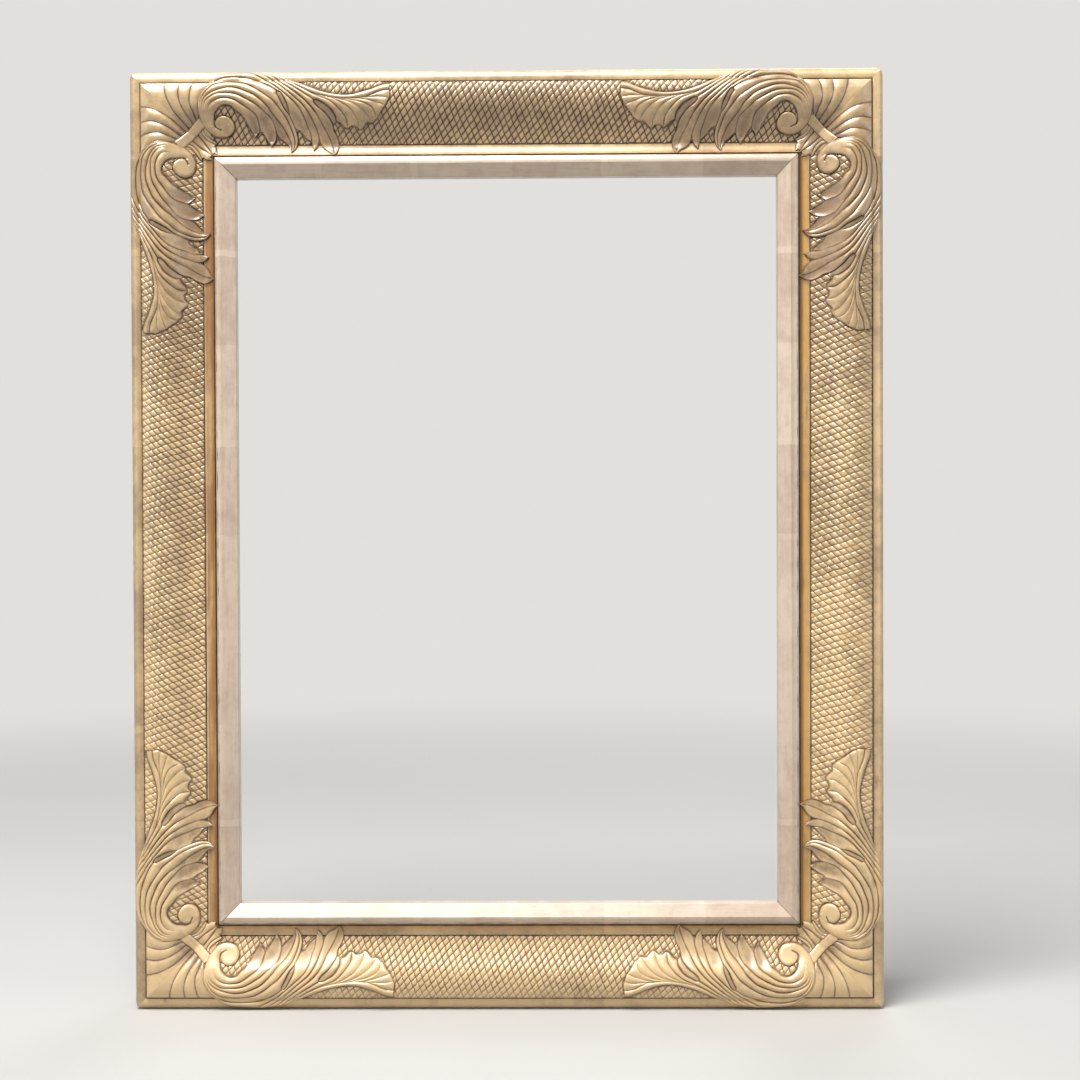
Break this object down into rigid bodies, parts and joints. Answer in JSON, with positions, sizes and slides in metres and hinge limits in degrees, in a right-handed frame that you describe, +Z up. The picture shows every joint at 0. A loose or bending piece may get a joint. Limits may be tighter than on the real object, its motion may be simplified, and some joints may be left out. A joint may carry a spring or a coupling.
{
  "type": "ornate gilded picture frame",
  "caption": "Upright gilded picture frame with a hatched swelling band, carved scroll leaves at the corners, a silvered sight edge, a rebate, turn buttons and hinged hanging rings.",
  "frame": {"origin": "centre of the flat back plane of the rails, which is the wall side", "axes": "+Z up, +X to the viewer's right, the front faces -Y"},
  "size_m": [0.6152, 0.0514, 0.7682],
  "materials": {
    "gilded_rail": "toned gold leaf over gesso on the front, bare wood on the back",
    "carved_gilt": "toned gold leaf with dark patina in the cuts",
    "silvered_strip": "pale silver and gold leaf, lapped and rubbed",
    "bare_key": "oiled hardwood",
    "plated_steel": "dull nickel plate",
    "brass_screws": "dull brass",
    "brass_buttons": "dull brass",
    "bumper_rubber": "soft matte"
  },
  "bodies": {
    "frame": {"corner_key_bottom_left": "bare_key", "corner_key_bottom_right": "bare_key", "corner_key_top_left": "bare_key", "corner_key_top_right": "bare_key", "darts_bottom_left": "carved_gilt", "darts_bottom_right": "carved_gilt", "darts_top_left": "carved_gilt", "darts_top_right": "carved_gilt", "fan_bottom_left": "carved_gilt", "fan_bottom_right": "carved_gilt", "fan_top_left": "carved_gilt", "fan_top_right": "carved_gilt", "hanger_screws_left": "brass_screws", "hanger_screws_right": "brass_screws", "hanger_strap_left": "plated_steel", "hanger_strap_right": "plated_steel", "leaf_bottom_left_on_bottom_rail": "carved_gilt", "leaf_bottom_left_on_left_rail": "carved_gilt", "leaf_bottom_right_on_bottom_rail": "carved_gilt", "leaf_bottom_right_on_right_rail": "carved_gilt", "leaf_top_left_on_left_rail": "carved_gilt", "leaf_top_left_on_top_rail": "carved_gilt", "leaf_top_right_on_right_rail": "carved_gilt", "leaf_top_right_on_top_rail": "carved_gilt", "rail_bottom": "gilded_rail", "rail_left": "gilded_rail", "rail_right": "gilded_rail", "rail_top": "gilded_rail", "ribbon_bottom_left": "carved_gilt", "ribbon_bottom_right": "carved_gilt", "ribbon_top_left": "carved_gilt", "ribbon_top_right": "carved_gilt", "sight_strip_bottom": "silvered_strip", "sight_strip_left": "silvered_strip", "sight_strip_right": "silvered_strip", "sight_strip_top": "silvered_strip", "turn_button_screws": "brass_screws", "wall_bumper_left": "bumper_rubber", "wall_bumper_right": "bumper_rubber"},
    "hanger_ring_left": {"hanger_ring_left": "plated_steel"},
    "hanger_ring_right": {"hanger_ring_right": "plated_steel"},
    "turn_button_bottom": {"turn_button_bottom": "brass_buttons"},
    "turn_button_lower_left": {"turn_button_lower_left": "brass_buttons"},
    "turn_button_lower_right": {"turn_button_lower_right": "brass_buttons"},
    "turn_button_top": {"turn_button_top": "brass_buttons"},
    "turn_button_upper_left": {"turn_button_upper_left": "brass_buttons"},
    "turn_button_upper_right": {"turn_button_upper_right": "brass_buttons"}
  },
  "joints": [
    {"name": "hanger_ring_left_hinge", "type": "hinge", "parent": "frame", "child": "hanger_ring_left", "pos_m": [-0.2676, 0.0034, 0.15], "axis": [1, 0, 0], "range_deg": [0, 180]},
    {"name": "hanger_ring_right_hinge", "type": "hinge", "parent": "frame", "child": "hanger_ring_right", "pos_m": [0.2676, 0.0034, 0.15], "axis": [1, 0, 0], "range_deg": [0, 180]},
    {"name": "turn_button_top_pivot", "type": "hinge", "parent": "frame", "child": "turn_button_top", "pos_m": [0, 0.00075, 0.3175], "axis": [0, 1, 0], "continuous": true},
    {"name": "turn_button_bottom_pivot", "type": "hinge", "parent": "frame", "child": "turn_button_bottom", "pos_m": [0, 0.00075, -0.3175], "axis": [0, 1, 0], "continuous": true},
    {"name": "turn_button_upper_left_pivot", "type": "hinge", "parent": "frame", "child": "turn_button_upper_left", "pos_m": [-0.241, 0.00075, 0.215], "axis": [0, 1, 0], "continuous": true},
    {"name": "turn_button_lower_left_pivot", "type": "hinge", "parent": "frame", "child": "turn_button_lower_left", "pos_m": [-0.241, 0.00075, -0.215], "axis": [0, 1, 0], "continuous": true},
    {"name": "turn_button_upper_right_pivot", "type": "hinge", "parent": "frame", "child": "turn_button_upper_right", "pos_m": [0.241, 0.00075, 0.215], "axis": [0, 1, 0], "continuous": true},
    {"name": "turn_button_lower_right_pivot", "type": "hinge", "parent": "frame", "child": "turn_button_lower_right", "pos_m": [0.241, 0.00075, -0.215], "axis": [0, 1, 0], "continuous": true}
  ]
}
